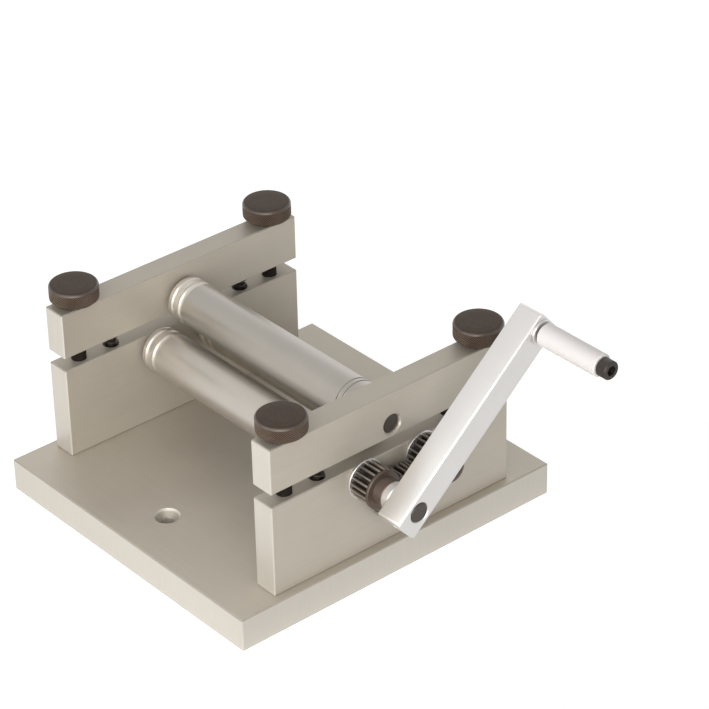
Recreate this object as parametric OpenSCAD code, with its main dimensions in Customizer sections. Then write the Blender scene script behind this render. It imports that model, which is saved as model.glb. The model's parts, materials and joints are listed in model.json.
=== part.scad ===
// Slip roll: one top roll in two adjustable bars over two lower rolls, turned by a crank through
// a small gear train. X runs along the rolls towards the crank, Y to the back and Z up. Zero is
// the centre of the base's underside.

/* [Base] */
// Width of the base, along the rolls
base_w = 185; // [180:1:220]
// Depth of the base, front to back
base_d = 198; // [190:1:230]
// Thickness of the base
base_t = 18; // [16:0.5:24]
// Diameter of a bench bolt hole
bolt_hole_d = 7; // [5:0.1:8.5]
// Diameter of the countersink at the top of a bench bolt hole
countersink_d = 13.5; // [11:0.1:16]
// From a bench bolt hole to the base's front or back edge
bolt_edge = 27.3; // [20:0.1:40]

/* [Side plates and bars] */
// Thickness of the side plates and of the bars over them
plate_t = 13.5; // [12.5:0.1:16]
// Depth of the side plates and bars, front to back
plate_d = 150; // [146:1:170]
// Height of the side plates
plate_h = 50.5; // [48:0.5:60]
// Height of the bars
bar_h = 25.2; // [23.5:0.1:32]
// Open gap between side plate and bar, as shown at rest
lift = 7; // [6.5:0.1:9]
// From the base's side edge to a side plate's outer face
plate_inset = 4.7; // [2:0.1:10]
// Depth of the holes for the lift springs in plate and bar
pocket_depth = 6; // [4:0.1:8]

/* [Rolls] */
// Diameter of the three rolls
roll_d = 24; // [20:0.1:25]
// Diameter of the journals at the rolls' ends
journal_d = 10; // [8:0.1:10.8]
// From the middle of the machine to each lower roll's axis, front and rear
roll_spread = 18; // [16:0.1:20]
// From the side plates' top down to the lower rolls' axes
lower_drop = 8.5; // [7.5:0.1:11]
// From the bars' underside up to the top roll's axis
top_rise = 7.2; // [7:0.1:10]
// Diameter of the shoulder that keeps a roll's face off the plates
shoulder_d = 14; // [12:0.1:18]
// Length of the shoulder
shoulder_l = 2; // [1:0.1:4]
// Width of a wire groove near the crank's far end
groove_w = 3; // [1.5:0.1:4]

/* [Gears] */
// Gear module, the pitch diameter per tooth
gear_module = 1; // [0.9:0.01:1.1]
// Teeth on each roll's pinion
pinion_teeth = 18; // [17:1:20]
// Teeth on the idler between them
idler_teeth = 28; // [26:1:30]
// Length of the pinions' teeth
pinion_face = 11.1; // [9:0.1:12.2]
// Diameter of the flange beside the pinions' teeth
flange_d = 21; // [18:0.1:22]
// Thickness of the flange
flange_t = 1.8; // [1:0.1:2.4]
// Diameter of the washers between the pinions and the side plate
gear_washer_d = 21; // [18:0.1:22]
// Diameter of the pinions' hubs
hub_d = 15; // [13.6:0.1:16]
// Length of the front pinion's flange and hub past its teeth
front_hub_l = 7.6; // [7:0.1:9]
// Length of the rear pinion's flange and hub past its teeth
rear_hub_l = 10.8; // [7:0.1:11]
// Length of the idler's teeth
idler_face = 8; // [6:0.1:9]
// Diameter of the stud that the idler turns on
stud_d = 8; // [7:0.1:10]
// Diameter of the stud's thread
stud_thread_d = 6; // [5:0.1:6.8]

/* [Crank] */
// Angle of the crank arm above the back, as shown at rest
crank_angle = 41; // [0:1:90]
// From the crank's shaft to the handle's axis
crank_reach = 102.7; // [80:0.1:140]
// Width and thickness of the square crank arm
arm_w = 15.1; // [13:0.1:18]
// From the shaft to the arm's near end
arm_near = 11.7; // [9:0.1:15]
// From the handle's axis to the arm's far end
arm_far = 7; // [6:0.1:10]
// From the right side plate's outer face to the arm's inner face
arm_gap = 24.6; // [24.2:0.1:30]
// Diameter of the collar between the front pinion and the arm
collar_d = 15; // [12:0.1:18]
// Diameter of the handle grip
grip_d = 11.8; // [10:0.1:16]
// Length of the handle grip
grip_l = 38.4; // [30:0.1:60]
// Thickness of the washer between arm and grip
washer_t = 1.3; // [0.8:0.1:2]

/* [Thumbscrews and springs] */
// Diameter of a thumbscrew's knob
knob_d = 25.4; // [20:0.1:26]
// Height of the knurled part of the knob
knob_h = 8.7; // [6:0.1:12]
// Diameter of the plain neck under the knob
neck_d = 15.5; // [11:0.1:19]
// Height of the neck
neck_h = 2.5; // [1:0.1:5]
// Diameter of a thumbscrew's shank
shank_d = 7.9; // [6:0.1:8.4]
// Length of shank in the side plate, as shown at rest
shank_grip = 24; // [18:0.5:28]
// From the end of the side plate to a thumbscrew's axis
screw_inset = 13.2; // [13:0.1:16]
// From a thumbscrew to the lift spring inboard of it
spring_step = 20; // [17:0.1:22]
// Outer diameter of a lift spring
spring_d = 7.9; // [7.6:0.1:8.6]
// Diameter of the springs' wire
wire_d = 1; // [0.8:0.05:1.1]
// Turns of a lift spring
spring_turns = 6; // [4:1:7]
// Diameter of the guide pin inside a lift spring
pin_d = 4.7; // [4:0.1:4.8]

/* [Fasteners] */
// Diameter of the cap screws in the base and the handle
cap_screw_d = 6.3; // [5:0.1:6.6]
// Diameter of a cap screw's head
cap_head_d = 9.6; // [8.6:0.1:10.5]
// Height of a cap screw's head
cap_head_h = 6; // [5:0.1:7]
// Width across the flats of a cap screw's socket
cap_socket = 4.8; // [4:0.1:5.2]
// Length of a base screw's thread in its side plate
base_screw_grip = 12.7; // [8:0.1:14]
// From the middle of a side plate to each base screw
base_screw_spread = 50; // [28:1:56]
// Diameter of the crank arm's set screw
arm_set_d = 4.8; // [4:0.1:6]
// Diameter of the pinions' set screws
hub_set_d = 4; // [3:0.1:5]

/* [Hidden] */

// Faces of round pieces
round_fn = 96;

// Clearances: turning or sliding fits, fixed fits, faces that turn on each other, holes round screws
run_gap = 0.06;
seat_gap = 0.02;
thrust_gap = 0.1;
screw_gap = 0.15;
roll_play = 0.3;
cut = 1;

// Broken edges
base_edge = 0.6;
plate_edge = 0.5;
arm_edge = 0.6;
arm_corner = 2;
bore_edge = 0.7;
roll_round = 1.6;
journal_edge = 0.5;
knob_edge = 1;
grip_edge = 0.8;
pin_edge = 0.4;
hub_edge = 0.4;

// Details of the rolls
shaft_recess = 1.3;
groove_from_end = 3.8;
groove_step = 5.6;
fine_groove_w = 1.2;
fine_groove_from_end = 9.3;
fine_groove_step = 3;

// Details of the gears
pressure_angle = 20;
addendum_share = 1;
dedendum_share = 1.25;
backlash = 0.12;
flank_steps = 3;
gear_gap = 1.3;
idler_gap = 1.5;
stud_head_over = 2;
stud_head_h = 3;
stud_socket = 4;
stud_socket_depth = 1.8;
stud_thread_l = 10;
hub_set_angle = -60;
hub_set_socket = 2;
hub_set_socket_depth = 0.9;
hub_set_sink = 0.1;

// Details of the crank
grip_gap = 0.9;
washer_over = 1.2;
washer_edge = 0.2;
arm_set_socket = 2.4;
arm_set_socket_depth = 2;
arm_set_sink = 0.8;

// Details of the screws
shank_edge = 0.8;
shank_room = 9;
cap_head_edge = 0.5;
cap_socket_depth = 3.2;
counterbore_gap = 0.4;
counterbore_sink = 0.9;
tap_room = 3;
countersink_angle = 82;

// Details of the springs and guide pins
wire_sides = 6;
rings_per_turn = 8;
coil_room = 0.3;
spring_end_gap = 0.08;
pin_seat = 12;
pin_rise = 9.5;
pin_room = 7;

// Places worked out from the sizes above
plate_out = base_w / 2 - plate_inset;
plate_in = plate_out - plate_t;
plate_mid = plate_out - plate_t / 2;
plate_top = base_t + plate_h;
bar_bottom = plate_top + lift;
bar_top = bar_bottom + bar_h;
lower_z = plate_top - lower_drop;
top_z = bar_bottom + top_rise;
roll_end = plate_in - roll_play - shoulder_l;
shaft_stop = plate_out - shaft_recess;
screw_y = plate_d / 2 - screw_inset;
spring_y = screw_y - spring_step;
bolt_y = base_d / 2 - bolt_edge;

pinion_x = plate_out + gear_gap;
pinion_teeth_end = pinion_x + pinion_face;
front_hub_end = pinion_teeth_end + front_hub_l;
rear_hub_end = pinion_teeth_end + rear_hub_l;
arm_x = plate_out + arm_gap;
arm_out = arm_x + arm_w;
pinion_r = gear_module * pinion_teeth / 2;
idler_r = gear_module * idler_teeth / 2;
idler_x = plate_out + idler_gap;
idler_drop = sqrt(pow(pinion_r + idler_r, 2) - pow(roll_spread, 2));
idler_z = lower_z - idler_drop;
idler_angle = 90;

handle_y = -roll_spread + crank_reach * cos(crank_angle);
handle_z = lower_z + crank_reach * sin(crank_angle);
grip_x = arm_out + washer_t + grip_gap;
grip_end = grip_x + grip_l;
head_x = grip_end + thrust_gap;

spring_low = plate_top - pocket_depth + spring_end_gap;
spring_high = bar_bottom + pocket_depth - spring_end_gap;
coil_r = (spring_d - wire_d) / 2;
pocket_d = spring_d + 2 * coil_room;
pin_low = plate_top - pocket_depth - pin_seat;
pin_high = bar_bottom + pocket_depth + pin_rise;

aluminium = [0.78, 0.78, 0.76];
bright_aluminium = [0.86, 0.86, 0.85];
roll_steel = [0.8, 0.8, 0.8];
black_steel = [0.2, 0.18, 0.16];
spring_steel = [0.35, 0.33, 0.3];
grip_white = [0.93, 0.93, 0.92];

// A box centred in X and Y that stands on Z zero, with all its edges broken by e
module block(size, e) {
    intersection() {
        linear_extrude(size.z) broken_square(size.x, size.y, e);
        translate([0, size.y / 2, size.z / 2])
            rotate([90, 0, 0])
                linear_extrude(size.y) broken_square(size.x, size.z, e);
        translate([-size.x / 2, 0, size.z / 2])
            along_x() linear_extrude(size.x) broken_square(size.y, size.z, e);
    }
}

// A centred rectangle with its corners cut off by e
module broken_square(w, h, e) {
    a = w / 2;
    b = h / 2;
    polygon([
        [-a + e, -b], [a - e, -b], [a, -b + e], [a, b - e],
        [a - e, b], [-a + e, b], [-a, b - e], [-a, -b + e]
    ]);
}

// Stands what was drawn on Z up along X, with its X to the back and its Y up
module along_x() {
    rotate([90, 0, 90]) children();
}

// A round bar from z0 to z1 with both ends broken by e
module rod(d, z0, z1, e) {
    rotate_extrude($fn = round_fn)
        polygon([
            [0, z0], [d / 2 - e, z0], [d / 2, z0 + e],
            [d / 2, z1 - e], [d / 2 - e, z1], [0, z1]
        ]);
}

// A round bar from z0 to z1 with both ends rounded to radius e
module round_rod(d, z0, z1, e) {
    rotate_extrude($fn = round_fn) {
        translate([0, z0]) square([d / 2 - e, z1 - z0]);
        translate([0, z0 + e]) square([d / 2, z1 - z0 - 2 * e]);
        for (z = [z0 + e, z1 - e])
            translate([d / 2 - e, z]) circle(r = e, $fn = 48);
    }
}

// A hole from z0 to z1, widened by e at both of its mouths
module hole(d, z0, z1, e) {
    translate([0, 0, z0 - cut]) cylinder(d = d, h = z1 - z0 + 2 * cut, $fn = round_fn);
    translate([0, 0, z0 - cut])
        cylinder(d1 = d + 2 * e + 2 * cut, d2 = d, h = e + cut, $fn = round_fn);
    translate([0, 0, z1 - e])
        cylinder(d1 = d, d2 = d + 2 * e + 2 * cut, h = e + cut, $fn = round_fn);
}

// A six-sided hole of a given width across the flats, from z0 up to z1
module hex_hole(flats, z0, z1) {
    translate([0, 0, z0]) cylinder(d = flats / cos(30), h = z1 - z0, $fn = 6);
}

// A socket cap screw that points down, its head standing on Z zero
module cap_screw(shank_l) {
    difference() {
        union() {
            rod(cap_head_d, 0, cap_head_h, cap_head_edge);
            rod(cap_screw_d, -shank_l, cap_head_h / 2, cap_head_edge);
        }
        hex_hole(cap_socket, cap_head_h - cap_socket_depth, cap_head_h + cut);
    }
}

// A set screw that points down, its socket at Z zero
module set_screw(d, l, socket, depth) {
    difference() {
        translate([0, 0, -l]) cylinder(d = d, h = l, $fn = round_fn);
        hex_hole(socket, -depth, cut);
    }
}

module base_plate() {
    color(aluminium)
    difference() {
        block([base_w, base_d, base_t], base_edge);
        for (end = [-1, 1])
            translate([0, end * bolt_y, 0]) bench_bolt_hole();
        for (side = [-1, 1], end = [-1, 1])
            translate([side * plate_mid, end * base_screw_spread, 0]) base_screw_hole();
    }
}

module bench_bolt_hole() {
    depth = (countersink_d - bolt_hole_d) / 2 / tan(countersink_angle / 2);
    over = cut * tan(countersink_angle / 2);
    translate([0, 0, -cut]) cylinder(d = bolt_hole_d, h = base_t + 2 * cut, $fn = round_fn);
    translate([0, 0, base_t - depth])
        cylinder(d1 = bolt_hole_d, d2 = countersink_d + 2 * over, h = depth + cut, $fn = round_fn);
}

module base_screw_hole() {
    translate([0, 0, -cut])
        cylinder(d = cap_screw_d + 2 * screw_gap, h = base_t + 2 * cut, $fn = round_fn);
    translate([0, 0, -cut])
        cylinder(
            d = cap_head_d + 2 * counterbore_gap,
            h = cap_head_h + counterbore_sink + cut,
            $fn = round_fn
        );
}

module plate_screws(side) {
    head_z = cap_head_h + counterbore_sink;
    color(black_steel)
    for (end = [-1, 1])
        translate([side * plate_mid, end * base_screw_spread, head_z])
            mirror([0, 0, 1]) cap_screw(base_t - head_z + base_screw_grip);
}

module side_plate(side) {
    color(aluminium)
    difference() {
        translate([side * plate_mid, 0, base_t]) block([plate_t, plate_d, plate_h], plate_edge);
        for (end = [-1, 1]) {
            journal_hole(end * roll_spread, lower_z);
            translate([side * plate_mid, end * screw_y, plate_top - shank_grip - shank_room])
                cylinder(d = shank_d + 2 * run_gap, h = shank_grip + shank_room + cut, $fn = round_fn);
            translate([side * plate_mid, end * spring_y, plate_top - pocket_depth])
                cylinder(d = pocket_d, h = pocket_depth + cut, $fn = round_fn);
            translate([side * plate_mid, end * spring_y, pin_low - seat_gap])
                cylinder(d = pin_d + 2 * seat_gap, h = pin_seat + cut, $fn = round_fn);
            translate([side * plate_mid, end * base_screw_spread, base_t - cut])
                cylinder(
                    d = cap_screw_d + 2 * seat_gap,
                    h = base_screw_grip + tap_room + cut,
                    $fn = round_fn
                );
        }
        if (side > 0)
            translate([0, 0, idler_z])
                along_x()
                    translate([0, 0, plate_out - stud_thread_l])
                        cylinder(d = stud_thread_d + 2 * seat_gap, h = stud_thread_l + cut, $fn = round_fn);
    }
}

// A bore along X through both plates or bars, with its mouths broken
module journal_hole(y, z) {
    for (side = [-1, 1])
        translate([side * plate_mid, y, z])
            along_x() hole(journal_d + 2 * run_gap, -plate_t / 2, plate_t / 2, bore_edge);
}

module top_bar(side) {
    color(aluminium)
    difference() {
        translate([side * plate_mid, 0, bar_bottom]) block([plate_t, plate_d, bar_h], plate_edge);
        journal_hole(0, top_z);
        for (end = [-1, 1]) {
            translate([side * plate_mid, end * screw_y, bar_bottom])
                hole(shank_d + 2 * run_gap, 0, bar_h, plate_edge);
            translate([side * plate_mid, end * spring_y, bar_bottom - cut])
                cylinder(d = pocket_d, h = pocket_depth + cut, $fn = round_fn);
            translate([side * plate_mid, end * spring_y, bar_bottom])
                cylinder(
                    d = pin_d + 2 * run_gap,
                    h = pocket_depth + pin_rise + pin_room,
                    $fn = round_fn
                );
        }
    }
}

// A roll turned from one bar, from its left journal to right_end
module roll(right_end) {
    color(roll_steel)
    along_x()
        difference() {
            union() {
                round_rod(roll_d, -roll_end, roll_end, roll_round);
                translate([0, 0, -roll_end - shoulder_l])
                    cylinder(d = shoulder_d, h = 2 * (roll_end + shoulder_l), $fn = round_fn);
                rod(journal_d, -shaft_stop, right_end, journal_edge);
            }
            for (i = [0, 1]) {
                roll_groove(-roll_end + groove_from_end + i * groove_step, groove_w);
                roll_groove(roll_end - fine_groove_from_end - i * fine_groove_step, fine_groove_w);
            }
        }
}

// A half-round groove for wire
module roll_groove(z, w) {
    rotate_extrude($fn = round_fn)
        translate([roll_d / 2, z]) circle(d = w, $fn = 32);
}

module top_roll() {
    translate([0, 0, top_z]) roll(shaft_stop);
}

module front_roll() {
    translate([0, -roll_spread, lower_z]) roll(arm_out);
}

module rear_roll() {
    translate([0, roll_spread, lower_z]) roll(rear_hub_end);
}

// Angle, in degrees, between an involute's start and the point on it at pressure angle a
function involute(a) = tan(a) * 180 / PI - a;

// Half the angle that a tooth spans at radius r
function tooth_half(n, r) =
    let (base_r = gear_module * n / 2 * cos(pressure_angle))
    90 / n + involute(pressure_angle) - involute(acos(min(1, base_r / r)))
        - backlash / (gear_module * n) * 180 / PI / 2;

// Outline of a spur gear with one tooth centred on X
function gear_points(n) =
    let (
        pitch_r = gear_module * n / 2,
        base_r = pitch_r * cos(pressure_angle),
        root_r = pitch_r - dedendum_share * gear_module,
        tip_r = pitch_r + addendum_share * gear_module,
        low_r = max(base_r, root_r),
        flank = [for (i = [0 : flank_steps]) low_r + (tip_r - low_r) * i / flank_steps],
        radii = root_r < base_r ? concat([root_r], flank) : flank
    )
    [
        for (tooth = [0 : n - 1])
            let (mid = tooth * 360 / n)
            each concat(
                [for (r = radii) polar(r, mid - tooth_half(n, r))],
                [for (i = [len(radii) - 1 : -1 : 0]) polar(radii[i], mid + tooth_half(n, radii[i]))]
            )
    ];

function polar(r, a) = [r * cos(a), r * sin(a)];

// The turn that brings a gear of n teeth into mesh with the idler, seen from the idler at angle a
function mesh_phase(a, n) =
    a + 180 - (0.5 - (a - idler_angle) * idler_teeth / 360) * 360 / n;

module pinion(end, hub_end) {
    phase = mesh_phase(atan2(idler_drop, end * roll_spread), pinion_teeth);
    color(black_steel)
    difference() {
        translate([0, end * roll_spread, lower_z])
            along_x()
                difference() {
                    union() {
                        translate([0, 0, pinion_x])
                            rotate([0, 0, phase])
                                linear_extrude(pinion_face) polygon(gear_points(pinion_teeth));
                        rod(flange_d, pinion_teeth_end, pinion_teeth_end + flange_t, hub_edge);
                        rod(hub_d, pinion_x, hub_end, hub_edge);
                    }
                    translate([0, 0, pinion_x - cut])
                        cylinder(
                            d = journal_d + 2 * seat_gap,
                            h = hub_end - pinion_x + 2 * cut,
                            $fn = round_fn
                        );
                }
        at_hub_set_screw(end, hub_end)
            translate([0, 0, -hub_d / 2])
                cylinder(d = hub_set_d + 2 * seat_gap, h = hub_d / 2 + cut, $fn = round_fn);
    }
}

// Places a set screw that points down at the hub's surface, behind and below the shaft
module at_hub_set_screw(end, hub_end) {
    translate([(pinion_teeth_end + flange_t + hub_end) / 2, end * roll_spread, lower_z])
        rotate([hub_set_angle - 90, 0, 0])
            translate([0, 0, hub_d / 2]) children();
}

module hub_set_screw(end, hub_end) {
    color(black_steel)
    at_hub_set_screw(end, hub_end)
        translate([0, 0, -hub_set_sink])
            set_screw(
                hub_set_d,
                (hub_d - journal_d) / 2 - hub_set_sink - seat_gap,
                hub_set_socket,
                hub_set_socket_depth
            );
}

// Thrust washer on a lower roll's shaft, between its pinion and the side plate
module gear_washer(end) {
    color(bright_aluminium)
    translate([0, end * roll_spread, lower_z])
        along_x()
            difference() {
                rod(gear_washer_d, plate_out + thrust_gap, pinion_x, washer_edge);
                translate([0, 0, plate_out])
                    cylinder(d = journal_d + 2 * seat_gap, h = gear_gap + cut, $fn = round_fn);
            }
}

module idler_gear() {
    color(black_steel)
    translate([0, 0, idler_z])
        along_x()
            translate([0, 0, idler_x])
                difference() {
                    rotate([0, 0, idler_angle])
                        linear_extrude(idler_face) polygon(gear_points(idler_teeth));
                    hole(stud_d + 2 * run_gap, 0, idler_face, hub_edge);
                }
}

// Shoulder stud turned as one profile: thread in the plate, flange, shoulder for the idler, head
module idler_stud() {
    root = plate_out - stud_thread_l + seat_gap;
    flange_end = idler_x - thrust_gap;
    flange_r = (stud_d + stud_head_over) / 2;
    head_x = idler_x + idler_face + thrust_gap;
    head_end = head_x + stud_head_h;
    head_r = stud_d / 2 + stud_head_over;
    color(black_steel)
    translate([0, 0, idler_z])
        along_x()
            difference() {
                rotate_extrude($fn = round_fn)
                    polygon([
                        [0, root], [stud_thread_d / 2, root], [stud_thread_d / 2, plate_out],
                        [flange_r, plate_out], [flange_r, flange_end], [stud_d / 2, flange_end],
                        [stud_d / 2, head_x], [head_r - hub_edge, head_x], [head_r, head_x + hub_edge],
                        [head_r, head_end - hub_edge], [head_r - hub_edge, head_end], [0, head_end]
                    ]);
                hex_hole(stud_socket, head_end - stud_socket_depth, head_end + cut);
            }
}

module crank_collar() {
    color(bright_aluminium)
    translate([0, -roll_spread, lower_z])
        along_x()
            difference() {
                rod(collar_d, front_hub_end, arm_x, hub_edge);
                translate([0, 0, front_hub_end - cut])
                    cylinder(
                        d = journal_d + 2 * seat_gap,
                        h = arm_x - front_hub_end + 2 * cut,
                        $fn = round_fn
                    );
            }
}

// Places what was drawn flat: X along the arm from its shaft, Y across it, Z out along the shaft
module on_crank() {
    translate([arm_x, -roll_spread, lower_z])
        along_x() rotate([0, 0, crank_angle]) children();
}

module arm_outline() {
    a = -arm_near;
    b = crank_reach + arm_far;
    h = arm_w / 2;
    translate([a + arm_corner, -h]) square([b - a - 2 * arm_corner, arm_w]);
    translate([a, -h + arm_corner]) square([b - a, arm_w - 2 * arm_corner]);
    for (x = [a + arm_corner, b - arm_corner], y = [-h + arm_corner, h - arm_corner])
        translate([x, y]) circle(r = arm_corner, $fn = 48);
}

module crank_arm() {
    mid = (crank_reach + arm_far - arm_near) / 2;
    color(bright_aluminium)
    on_crank()
        difference() {
            intersection() {
                linear_extrude(arm_w) arm_outline();
                translate([mid, 0, 0])
                    block([crank_reach + arm_far + arm_near, arm_w, arm_w], arm_edge);
            }
            hole(journal_d + 2 * seat_gap, 0, arm_w, bore_edge);
            translate([crank_reach, 0, 0])
                hole(cap_screw_d + 2 * seat_gap, 0, arm_w, arm_edge);
            translate([-arm_near - cut, 0, arm_w / 2])
                rotate([0, 90, 0])
                    cylinder(d = arm_set_d + 2 * seat_gap, h = arm_near + cut, $fn = round_fn);
        }
}

module crank_set_screw() {
    color(black_steel)
    on_crank()
        translate([-arm_near + arm_set_sink, 0, arm_w / 2])
            rotate([0, -90, 0])
                set_screw(
                    arm_set_d,
                    arm_near - arm_set_sink - journal_d / 2 - seat_gap,
                    arm_set_socket,
                    arm_set_socket_depth
                );
}

module handle_washer() {
    color(bright_aluminium)
    translate([0, handle_y, handle_z])
        along_x()
            difference() {
                rod(grip_d + washer_over, arm_out, arm_out + washer_t, washer_edge);
                translate([0, 0, arm_out - cut])
                    cylinder(
                        d = cap_screw_d + 2 * screw_gap,
                        h = washer_t + 2 * cut,
                        $fn = round_fn
                    );
            }
}

module handle_grip() {
    color(grip_white)
    translate([0, handle_y, handle_z])
        along_x()
            difference() {
                rod(grip_d, grip_x, grip_end, grip_edge);
                hole(cap_screw_d + 2 * run_gap, grip_x, grip_end, plate_edge);
            }
}

module handle_screw() {
    color(black_steel)
    translate([0, handle_y, handle_z])
        along_x()
            translate([0, 0, head_x]) cap_screw(head_x - arm_x - arm_edge);
}

module thumbscrew(side, end) {
    knob_z = bar_top + thrust_gap + neck_h;
    color(black_steel)
    translate([side * plate_mid, end * screw_y, 0]) {
        rotate_extrude($fn = round_fn)
            polygon([
                [0, bar_top + thrust_gap],
                [neck_d / 2, bar_top + thrust_gap],
                [neck_d / 2, knob_z],
                [knob_d / 2 - knob_edge, knob_z],
                [knob_d / 2, knob_z + knob_edge],
                [knob_d / 2, knob_z + knob_h - knob_edge],
                [knob_d / 2 - knob_edge, knob_z + knob_h],
                [0, knob_z + knob_h]
            ]);
        rod(shank_d, plate_top - shank_grip, knob_z, shank_edge);
    }
}

// Stations along a spring's wire, each the angle round the coil, the height and the wire's slope.
// The wire leaves its seat square to it, bends into the coil and ends the same way at the top.
function spring_stations() =
    let (
        bend = wire_d,
        bend_turn = bend / coil_r * 180 / PI,
        z0 = spring_low + wire_d,
        z1 = spring_high - wire_d,
        coil_z = z0 + bend,
        coil_h = z1 - z0 - 2 * bend,
        slope = atan2(coil_h / spring_turns, 2 * PI * coil_r),
        rings = spring_turns * rings_per_turn,
        last = bend_turn + 360 * spring_turns
    )
    concat(
        [[0, spring_low, 90], [0, z0, 90]],
        [[bend_turn * (1 - cos(45)), z0 + bend * sin(45), 45]],
        [
            for (i = [0 : rings])
                [bend_turn + 360 * i / rings_per_turn, coil_z + coil_h * i / rings, slope]
        ],
        [[last + bend_turn * sin(45), coil_z + coil_h + bend * (1 - cos(45)), 45]],
        [[last + bend_turn, z1, 90], [last + bend_turn, spring_high, 90]]
    );

// Point a of the wire's section at a station
function wire_point(s, a) =
    let (
        out = [cos(s[0]), sin(s[0]), 0],
        down = [-sin(s[2]) * sin(s[0]), sin(s[2]) * cos(s[0]), -cos(s[2])]
    )
    coil_r * out + [0, 0, s[1]] + wire_d / 2 * (cos(a) * out + sin(a) * down);

function wire_middle(s) = [coil_r * cos(s[0]), coil_r * sin(s[0]), s[1]];

// Least gap between neighbouring turns, measured between the stations
function spring_gap(stations) =
    min([
        for (i = [0 : len(stations) - 1], j = [i + rings_per_turn / 2 + 1 : 1 : len(stations) - 1])
            norm(wire_middle(stations[i]) - wire_middle(stations[j])) - wire_d
    ]);

module lift_spring(side, end) {
    stations = spring_stations();
    n = len(stations);
    k = wire_sides;
    echo(least_spring_gap = spring_gap(stations));
    color(spring_steel)
    translate([side * plate_mid, end * spring_y, 0])
        polyhedron(
            points = [for (s = stations, j = [0 : k - 1]) wire_point(s, 360 * j / k)],
            faces = concat(
                [for (j = [1 : k - 2]) [0, j, j + 1]],
                [for (j = [1 : k - 2]) [(n - 1) * k, (n - 1) * k + j + 1, (n - 1) * k + j]],
                [
                    for (i = [0 : n - 2], j = [0 : k - 1])
                        let (a = i * k + j, b = i * k + (j + 1) % k)
                        each [[a, a + k, b], [b, a + k, b + k]]
                ]
            )
        );
}

module guide_pin(side, end) {
    color(spring_steel)
    translate([side * plate_mid, end * spring_y, 0]) rod(pin_d, pin_low, pin_high, pin_edge);
}

base_plate();
side_plate(-1);  // left_side_plate
side_plate(1);  // right_side_plate
plate_screws(-1);  // left_plate_screws
plate_screws(1);  // right_plate_screws
top_bar(-1);  // left_top_bar
top_bar(1);  // right_top_bar
top_roll();
front_roll();
rear_roll();
pinion(-1, front_hub_end);  // front_gear
pinion(1, rear_hub_end);  // rear_gear
gear_washer(-1);  // front_gear_washer
gear_washer(1);  // rear_gear_washer
idler_gear();
idler_stud();
hub_set_screw(-1, front_hub_end);  // front_gear_set_screw
hub_set_screw(1, rear_hub_end);  // rear_gear_set_screw
crank_collar();
crank_arm();
crank_set_screw();
handle_washer();
handle_grip();
handle_screw();
thumbscrew(-1, -1);  // thumbscrew_front_left
thumbscrew(-1, 1);  // thumbscrew_rear_left
thumbscrew(1, -1);  // thumbscrew_front_right
thumbscrew(1, 1);  // thumbscrew_rear_right
lift_spring(-1, -1);  // lift_spring_front_left
lift_spring(-1, 1);  // lift_spring_rear_left
lift_spring(1, -1);  // lift_spring_front_right
lift_spring(1, 1);  // lift_spring_rear_right
guide_pin(-1, -1);  // guide_pin_front_left
guide_pin(-1, 1);  // guide_pin_rear_left
guide_pin(1, -1);  // guide_pin_front_right
guide_pin(1, 1);  // guide_pin_rear_right
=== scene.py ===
"""Dresses the slip roll's CAD frame.

Adds metal finishes, knurled and threaded thumbscrews, wound lift springs, eased gear and crank
edges, a white bench, lamps and the camera. Lengths are metres in the frame's own axes: X along
the rolls towards the crank, Y to the back and Z up.
"""

import json
import math
from functools import cached_property

import bmesh
import bpy
from mathutils import Matrix, Vector

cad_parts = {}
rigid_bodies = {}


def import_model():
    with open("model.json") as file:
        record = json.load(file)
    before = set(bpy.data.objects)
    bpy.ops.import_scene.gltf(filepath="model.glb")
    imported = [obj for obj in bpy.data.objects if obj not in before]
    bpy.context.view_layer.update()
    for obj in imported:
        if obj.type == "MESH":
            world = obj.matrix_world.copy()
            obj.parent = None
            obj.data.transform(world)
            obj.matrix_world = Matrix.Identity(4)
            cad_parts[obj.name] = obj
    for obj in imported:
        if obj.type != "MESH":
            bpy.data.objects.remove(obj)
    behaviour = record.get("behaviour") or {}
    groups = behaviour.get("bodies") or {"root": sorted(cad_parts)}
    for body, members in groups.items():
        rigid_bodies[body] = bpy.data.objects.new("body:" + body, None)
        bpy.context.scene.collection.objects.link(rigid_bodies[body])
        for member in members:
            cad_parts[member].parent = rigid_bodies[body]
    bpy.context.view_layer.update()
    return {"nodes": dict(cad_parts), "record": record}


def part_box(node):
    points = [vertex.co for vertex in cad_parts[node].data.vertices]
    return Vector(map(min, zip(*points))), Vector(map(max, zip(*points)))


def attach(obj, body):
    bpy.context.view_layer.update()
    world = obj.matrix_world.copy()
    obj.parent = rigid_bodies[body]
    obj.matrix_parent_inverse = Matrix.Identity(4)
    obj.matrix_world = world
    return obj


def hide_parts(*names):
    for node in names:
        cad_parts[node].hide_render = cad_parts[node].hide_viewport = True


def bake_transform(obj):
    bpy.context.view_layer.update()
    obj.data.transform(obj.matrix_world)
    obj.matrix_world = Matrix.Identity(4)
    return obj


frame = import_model()

bl_info = {
    "name": "Slip Roll Dressing",
    "version": (1, 0, 0),
    "blender": (4, 5, 0),
    "location": "3D View > Sidebar > Slip Roll",
    "description": "Gives the slip roll its finishes, fine detail, bench, light and camera",
    "category": "Object",
}

MM = 0.001
CORNERS = ("front_left", "rear_left", "front_right", "rear_right")
WHITE = (1.0, 1.0, 1.0, 1.0)

# The box of one thumbscrew, from its shank's end to its knob's top
SCREW_LOW, SCREW_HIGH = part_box("thumbscrew_front_left")
# Heights between which a thumbscrew's thread can come into view, and its rings to a turn
THREAD_LOW = 64.0 * MM
THREAD_HIGH = 79.0 * MM
THREAD_RINGS = 6
# Chamfers at the lower ends of the shank and the neck
SHANK_EDGE = 0.8 * MM
NECK_EDGE = 0.3 * MM
# Height of a knob's rounded brow, as a share of its width, and the steps of its arc
BROW_RISE_SHARE = 1.2
BROW_STEPS = 6
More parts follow.
